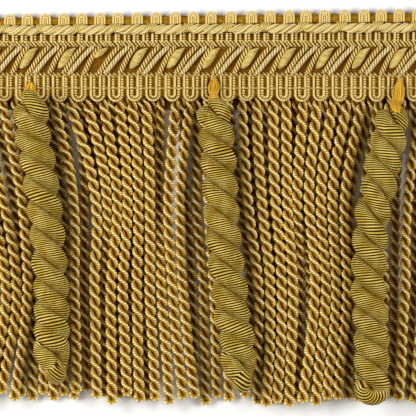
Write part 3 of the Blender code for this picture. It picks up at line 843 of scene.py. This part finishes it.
def makeUpperGimp(material, random):
    upright, stitch = upperGimp["upright"], upperGimp["stitch"]
    parts = []
    for number in range(upperGimp["count"]):
        for thread in upperGimp["threads"]:
            wander = random.normal() * upright["wander"]
            x = -halfLength + upperGimp["pitch"] * number + thread["shift"] + wander
            if inside(x, 0.7):
                ends = (x, upright["from"]), (x, upright["to"])
                shape = upright["height"], upright["radius"], thread["tone"], thread["crimp"]
                parts.append(straightThread(*ends, *shape, upright["arch"]))
    for number in range(upperGimp["stitchCount"]):
        x = -halfLength + upperGimp["stitchPitch"] * number + random.normal() * stitch["wander"]
        if inside(np.array([x, x + 2.2]), 0.5):
            ends = (x, stitch["from"]), (x + stitch["lean"], stitch["to"])
            shape = upright["height"], stitch["radius"], 0.1 + 0.5 * (number % 2)
            parts.append(straightThread(*ends, *shape, arch=stitch["arch"]))
    makePiece("upperGimpThreads", parts, material)


def makeGimp():
    material = threadMaterial("rayonGimpThread", gimpThread["look"])
    random = np.random.default_rng(lowerGimp["seed"])
    makeLowerGimp(material, random)
    makePicots(material)
    makeUpperGimp(material, random)


def twistedCord(axis, pitch, plyRadius, offset, step, tones, size=1.0, threads=0):
    # Ply k of n runs at the offset from the axis, at the angle -(2 pi s / pitch + 2 pi k / n). With
    # threads, a ply is that many fine threads, turning round its middle once in the fine twist's length.
    distance = lengthAlong(axis)
    place = np.linspace(0, distance[-1], max(int(distance[-1] / step), 4))
    line = np.stack([np.interp(place, distance, axis[:, c]) for c in range(3)], -1)
    size = np.interp(place, distance, np.broadcast_to(size, distance.shape))
    side, up = levelFrame(line)[1:]
    made = []
    for ply, tone in enumerate(tones):
        out = turned(side, up, -(2 * pi * place / pitch + 2 * pi * ply / len(tones)))
        path = line + (offset * size)[:, None] * out
        if not threads:
            made.append(tube(path, out, plyRadius * size, 7, tone))
            continue
        first, second = pathFrame(path, out)[1:]
        for k in range(threads):
            way = turned(first, second, 2 * pi * k / threads + 2 * pi * place / edgeCord["fineTwist"])
            fine = path + (plyRadius * edgeCord["fineOut"] * size)[:, None] * way
            made.append(tube(fine, way, plyRadius * edgeCord["fineRadius"] * size, 7, tone[k]))
    return made


# Edge cord: three plies of four threads, couched down by the wraps, which pinch it
edgeCord = {
    "y": 11.75, "height": 3.95, "pitch": 11.2, "plyRadius": 1.05, "offset": 1.2, "step": 0.5,
    "fineTwist": 26.0,
    "fineOut": 0.54,  # how far a fine thread lies from its ply's middle, as a share of the ply's radius
    "fineRadius": 0.5,  # and its own radius, as another
    "pinchReach": 2.3, "pinchSize": 0.36, "pinchUp": 0.5, "pinchDown": 0.7,
    "tones": [[0.9, 0.4, 0.8, 0.2], [0.1, 0.5, 0.0, 0.3], [1.0, 0.6, 0.9, 0.1]],
    "look": dict(
        gimpThread["look"],
        crestHighlight="#ecd890", pale="#f2e2a4", body="#a87410", bodyPale="#b8882a", creviceShade="#5a3806",
        creviceFrom=0.2, creviceTo=0.65, beadDepth=0.0,
    ),
}
# Wraps: a few fine threads side by side, each an arch over the cord that leans up to the right
cordWraps = {
    "columns": [4, 40.8, 77.7, 114.5, 151.3, 188, 226.8, 265, 302.4, 340.6, 376.8, 415],  # of the photo
    "pitch": 15.8, "threads": 6, "threadPitch": 0.74, "radius": 0.33, "lean": 0.5, "y": 12.5,
    "halfWidth": 1.85, "foot": 1.9, "rise": 2.9,
    "look": dict(
        gimpThread["look"],
        crestHighlight="#e2ca74", pale="#b8922c", body="#9c7418", creviceFrom=0.3, creviceTo=0.7,
        beadDepth=0.0,
    ),
}


def makeEdgeCord():
    # The cord is pinched by exp(-(d / 2.3)^2) at the distance d from a wrap
    sizes = edgeCord
    wraps = placesOf(cordWraps["columns"], cordWraps["pitch"])
    x = np.linspace(-halfLength + 0.2, halfLength - 0.2, 1400)
    pinch = np.exp(-(((x[:, None] - wraps) / sizes["pinchReach"]) ** 2)).sum(1)
    y = drifted(x, sizes["y"] + sizes["pinchUp"] * pinch)
    axis = np.stack([x, y, sizes["height"] - sizes["pinchDown"] * pinch], -1)
    shape = sizes["pitch"], sizes["plyRadius"], sizes["offset"], sizes["step"], sizes["tones"]
    parts = twistedCord(axis, *shape, 1 - sizes["pinchSize"] * pinch, 4)
    material = threadMaterial("twistedRayonCord", sizes["look"])
    makePiece("edgeCord", parts, material, ["edge_cord"])
    makeWraps(wraps)


def makeWraps(wraps):
    # At the angle t a wrap lies at y + half width cos t, foot + rise sin t
    sizes = cordWraps
    t = np.linspace(0.05, pi - 0.05, 13)
    out = np.stack([0 * t, np.cos(t), np.sin(t)], -1)
    parts = []
    first = (1 - sizes["threads"]) / 2
    for middle in wraps:
        for k in range(sizes["threads"]):
            x = middle + (first + k) * sizes["threadPitch"] + sizes["lean"] * np.cos(t)
            y = drifted(x, sizes["y"] + sizes["halfWidth"] * np.cos(t))
            path = np.stack([x, y, sizes["foot"] + sizes["rise"] * np.sin(t)], -1)
            if inside(x, 0.5):
                parts.append(tube(path, out, sizes["radius"], 7, 0.2 + 0.4 * (k % 2)))
    makePiece("cordWraps", parts, threadMaterial("rayonWrapThread", sizes["look"]))


# Slanting row: bundles of a white cord between two tan ones, which close in on it as they rise
slantCords = {
    "columns": [7, 44, 79, 114.5, 154, 191.5, 229, 266, 302, 339, 376, 411],  # of the photo
    "pitch": 15.8, "bottom": -6.9, "rise": 11.0, "height": 3.0,
    "cords": [
        {"across": -2.6, "closing": -1.4, "tone": 0.0, "up": 0.0},
        {"across": 0.0, "closing": 0.0, "tone": 0.85, "up": 0.15},
        {"across": 6.2, "closing": -3.4, "tone": 0.0, "up": 0.0},
    ],
    "twist": 4.5, "plyRadius": 0.5, "offset": 0.6, "step": 0.36, "plyTones": (1.0, 0.6, 0.9),
    "look": dict(
        gimpThread["look"],
        crestHighlight="#ecd284", pale="#f2e8bc", body="#9c6a0a", bodyPale="#b4821e", creviceShade="#6a3e04",
        crestFrom=0.7, crestTo=0.9, creviceFrom=0.45, creviceTo=0.8, beadDepth=0.0,
    ),
}
# Satin strips: one crowned band of floats between each two bundles
satinStrips = {
    "columns": [28, 66.2, 98, 138, 175, 210, 249, 286, 324, 360, 397.5],  # of the photo
    "from": 0.19,  # share of the row's height where a strip starts
    "to": 0.96,
    "shortColumn": 98,  # this one is short, where the photo's bundle is missing
    "shortFrom": 0.6, "half": 2.7, "crown": 2.0, "foot": 2.6, "under": 1.9,
    # Real floats are 0.2 mm apart. They are drawn about 1 mm apart so that they show.
    "floats": 11, "floatHeight": 0.08,
    "look": {
        # The shade and shine colours are painted shade and painted sheen
        "shade": "#9a7410", "shine": "#f4e08c", "tint": "#e8d070",
        "lines": 0.9,  # from one line to the next, in tenths of the strip's length
        "lineShare": 0.32, "lineHeight": 0.05, "patchScale": 700.0,
        "patchStretch": (0.35, 1.0, 1.0), "patchShare": 1.1, "roughness": 0.32, "specular": 0.35,
    },
}


def slant(t):
    # The bundle's lean at the share t of the way up: -3.9 + 8.6 t + 1.2 t^4
    return -3.9 + 8.6 * t + 1.2 * t**4


def makeSlantCords():
    # x = start + slant(t) + across + closing t, and the cord sinks a little at its top
    sizes = slantCords
    parts = []
    t = np.linspace(-0.04, 1.02, 44)
    sinking = 0.6 * np.clip((t - 0.9) / 0.12, 0, 1)
    for start in placesOf(sizes["columns"], sizes["pitch"]):
        for cord in sizes["cords"]:
            x = start + slant(t) + cord["across"] + cord["closing"] * t
            keep = np.abs(x) < halfLength - 1.2
            if keep.sum() < 8:
                continue
            z = sizes["height"] + cord["up"] - sinking
            axis = np.stack([x, sizes["bottom"] + sizes["rise"] * t, z], -1)[keep]
            shape = sizes["twist"], sizes["plyRadius"], sizes["offset"], sizes["step"]
            parts += twistedCord(axis, *shape, [cord["tone"] * share for share in sizes["plyTones"]])
    material = threadMaterial("slantingRayonCord", sizes["look"])
    makePiece("slantCords", parts, material, [f"slant_cords_{n:02d}" for n in range(1, 17)])


def satinPart(middle, low):
    # A crowned band: height = 2.6 + 2 (1 - |c|^2.5), with round ends, and floats that lean up to the right
    sizes = satinStrips
    t = np.linspace(0.0, 1.0, 60)
    c = np.linspace(-1, 1, 17)
    up = low + (sizes["to"] - low) * t
    ends = np.abs(2 * t - 1)
    half = sizes["half"] * np.sqrt(1 - 0.8 * ends**8) * (0.7 + 0.3 * np.clip(t * 2.5, 0, 1))
    x = middle + (slant(up) - 1.4 - 4.3 * (up - 0.575))[:, None] + half[:, None] * c
    y = slantCords["bottom"] + slantCords["rise"] * up[:, None] + (1.0 - 0.6 * ends**4)[:, None] * c
    crown = sizes["crown"] * (0.4 + 0.6 * np.sqrt(1 - ends**4))[:, None]
    z = sizes["foot"] + crown * (1 - np.abs(c) ** 2.5)
    z = z + sizes["floatHeight"] * np.sin(2 * pi * t * sizes["floats"])[:, None] * (1 - c**2)
    top = np.stack([np.clip(x, -halfLength, halfLength), y, z], -1)
    under = top.copy()[:, ::-1]
    under[..., 2] = sizes["under"]
    points = np.concatenate([top, under[:, 1:-1]], 1)[:, ::-1]
    return ringPart(points, t * 10.0)


def satinMaterial():
    # Rayon floats laid side by side in satin weave. Their colour is a painted sheen, broken by painted
    # shade in fine lines across it and in patches.
    look = satinStrips["look"]
    made, add, setShader = startMaterial("satinRayonFloats")
    u = add("SeparateXYZ", {0: add("UVMap", uv_map="Twist")}, 0)
    spread = add("Mapping", {"Vector": add("TexCoord", output="Object"), "Scale": look["patchStretch"]})
    patch = add("TexNoise", {"Vector": spread, "Scale": look["patchScale"], "Detail": 2.0})
    turns = add("Math", {0: u, 1: 2 * pi / look["lines"]}, operation="MULTIPLY")
    floats = add("Math", {0: turns}, operation="SINE")
    share = add("Math", {0: floats, 1: look["lineShare"]}, operation="MULTIPLY")
    share = add("Math", {0: patch, 1: look["patchShare"], 2: share}, operation="MULTIPLY_ADD")
    share = add("MapRange", {0: share, 1: 0.25, 2: 0.85}, **smoothRange)
    # Painted sheen and shade: lines and patches run from the shade colour to the shine colour
    colour = add("Mix", {0: share, 6: look["shade"], 7: look["shine"]}, **colourMix)
    bump = add("Bump", {"Height": floats, "Distance": look["lineHeight"] * mm, "Strength": 1.0})
    setShader({"Base Color": colour, "Roughness": look["roughness"], "Normal": bump})
    setShader({"Specular IOR Level": look["specular"], "Specular Tint": look["tint"]})
    return made


def makeSatinStrips():
    shortOne = fromColumn(satinStrips["shortColumn"])
    strips = []
    for middle in placesOf(satinStrips["columns"], slantCords["pitch"]):
        if abs(middle) < halfLength - 6.0:
            low = satinStrips["shortFrom"] if abs(middle - shortOne) < 0.1 else satinStrips["from"]
            strips.append(satinPart(middle, low))
    nodes = [f"satin_strip_{n:02d}" for n in range(1, 16)]
    makePiece("satinStrips", strips, satinMaterial(), nodes)


# Ties

ties = {
    # Each bundle: the tie, middle and lean, top and bottom in y, height at both, and half widths down it
    "bundles": [
        (1, -78.7, 0.2, -11.0, -15.2, 5.4, 5.4, (0.6, 1.7, 2.4)),
        (2, -0.9, 0.4, -8.9, -16.0, 5.2, 5.6, (0.3, 2.1, 1.6)),
        (2, -1.0, -0.5, -15.2, -18.5, 5.4, 5.8, (1.3, 1.9, 2.4)),
        (3, 77.4, 1.0, -9.3, -20.2, 5.2, 6.6, (0.3, 2.3, 1.7)),
        (3, 76.1, -1.0, -19.0, -23.6, 8.0, 15.6, (1.6, 1.9, 0.9)),
    ],
    "yarns": 9, "yarnRadius": 0.36, "crown": 1.5, "seed": 8,
    "look": dict(
        gimpThread["look"],
        body="#a87206", bodyPale="#c08a12", crestHighlight="#e6b43c", pale="#dca62c", creviceShade="#5a3200",
        crestFrom=0.6, crestTo=1.0, creviceFrom=0.3, creviceTo=0.75, beadDepth=0.0,
    ),
}


def makeTies():
    # Side by side yarns: x = middle + lean (1/2 - t) + c half(t), crowned by sqrt(1 - 0.8 c^2)
    material = threadMaterial("looseRayonYarn", ties["look"])
    random = np.random.default_rng(ties["seed"])
    parts = {1: [], 2: [], 3: []}
    t = np.linspace(0, 1, 24)
    for tie, middle, lean, top, bottom, low, high, halves in ties["bundles"]:
        half = through([0.0, 0.5, 1.0], halves, t)
        for c in np.linspace(-1, 1, ties["yarns"]):
            x = middle + lean * (0.5 - t) + half * c + 0.25 * np.sin(pi * t) * random.normal()
            z = low + (high - low) * t + random.uniform(-0.15, 0.25)
            z = z + ties["crown"] * np.sin(pi * np.clip(t * 1.1, 0, 1)) * np.sqrt(1 - 0.8 * c**2)
            path = np.stack([x, top + (bottom - top) * t, z], -1)
            tone = random.uniform(0, 0.9)
            parts[tie].append(tube(path, facingUp(path), ties["yarnRadius"], 8, tone))
    for tie, bundle in parts.items():
        makePiece(f"tie{tie}", bundle, material, [f"drop_tie_{tie}"])


# Stage, in metres and watts

stage = {
    "floorHalf": 3.0, "floorRoughness": 0.9, "world": 0.27, "target": (0.0, -0.065, 0.0),
    "lights": {
        "leftLight": {"place": (-0.95, -0.06, 0.68), "size": 0.6, "power": 8.6},
        "rightLight": {"place": (0.95, -0.06, 0.68), "size": 0.6, "power": 8.6},
        "keyLight": {"place": (-0.55, 0.2, 0.6), "size": 0.25, "power": 2.0},
    },
}


def addLight(name, place, size, power):
    # A disc of light that faces the middle of the trim
    light = bpy.data.lights.new(name, "AREA")
    light.shape = "DISK"
    light.size = size
    light.energy = power
    made = bpy.data.objects.new(name, light)
    made.location = place
    made.rotation_euler = (Vector(place) - Vector(stage["target"])).to_track_quat("Z", "Y").to_euler()
    made.visible_camera = False
    bpy.context.scene.collection.objects.link(made)


def makeStage():
    half = stage["floorHalf"]
    mesh = bpy.data.meshes.new("floor")
    corners = [(-half, -half, 0), (half, -half, 0), (half, half, 0), (-half, half, 0)]
    mesh.from_pydata(corners, [], [(0, 1, 2, 3)])
    floor = bpy.data.objects.new("floor", mesh)
    # Uncoated white paper: a plain pale ground without shine
    paper, _, setShader = startMaterial("uncoatedPaper")
    setShader({"Base Color": (0.9, 0.9, 0.89, 1), "Roughness": stage["floorRoughness"]})
    mesh.materials.append(paper)
    bpy.context.scene.collection.objects.link(floor)
    world = bpy.data.worlds.new("studio")
    world.use_nodes = True
    background = world.node_tree.nodes["Background"]
    setInputs(world.node_tree, background, {0: (1, 1, 1, 1), 1: stage["world"]})
    bpy.context.scene.world = world
    for name, light in stage["lights"].items():
        addLight(name, **light)
    bpy.context.scene.view_settings.view_transform = "Standard"
    print("The floor, the world and", len(stage["lights"]), "lights are in place")


# Camera: straight above the middle of the photo's frame, 176.8 mm wide, through a long lens
camera = {"x": -3.4, "y": -64.2, "width": 176.8, "lens": 600.0, "sensor": 36.0}


def makeCamera():
    # Height = width x lens / sensor
    data = bpy.data.cameras.new("camera")
    data.lens = camera["lens"]
    data.sensor_width = camera["sensor"]
    data.clip_end = 20.0
    made = bpy.data.objects.new("camera", data)
    height = camera["width"] * camera["lens"] / camera["sensor"]
    made.location = (camera["x"] * mm, camera["y"] * mm, height * mm)
    bpy.context.scene.collection.objects.link(made)
    bpy.context.scene.camera = made
    print("The camera is in place")


yarn = makeStrands()
makeDeepStrands(yarn)
makeDrops()
makeGround()
makeGimp()
makeEdgeCord()
makeSlantCords()
makeSatinStrips()
makeTies()
makeStage()
makeCamera()
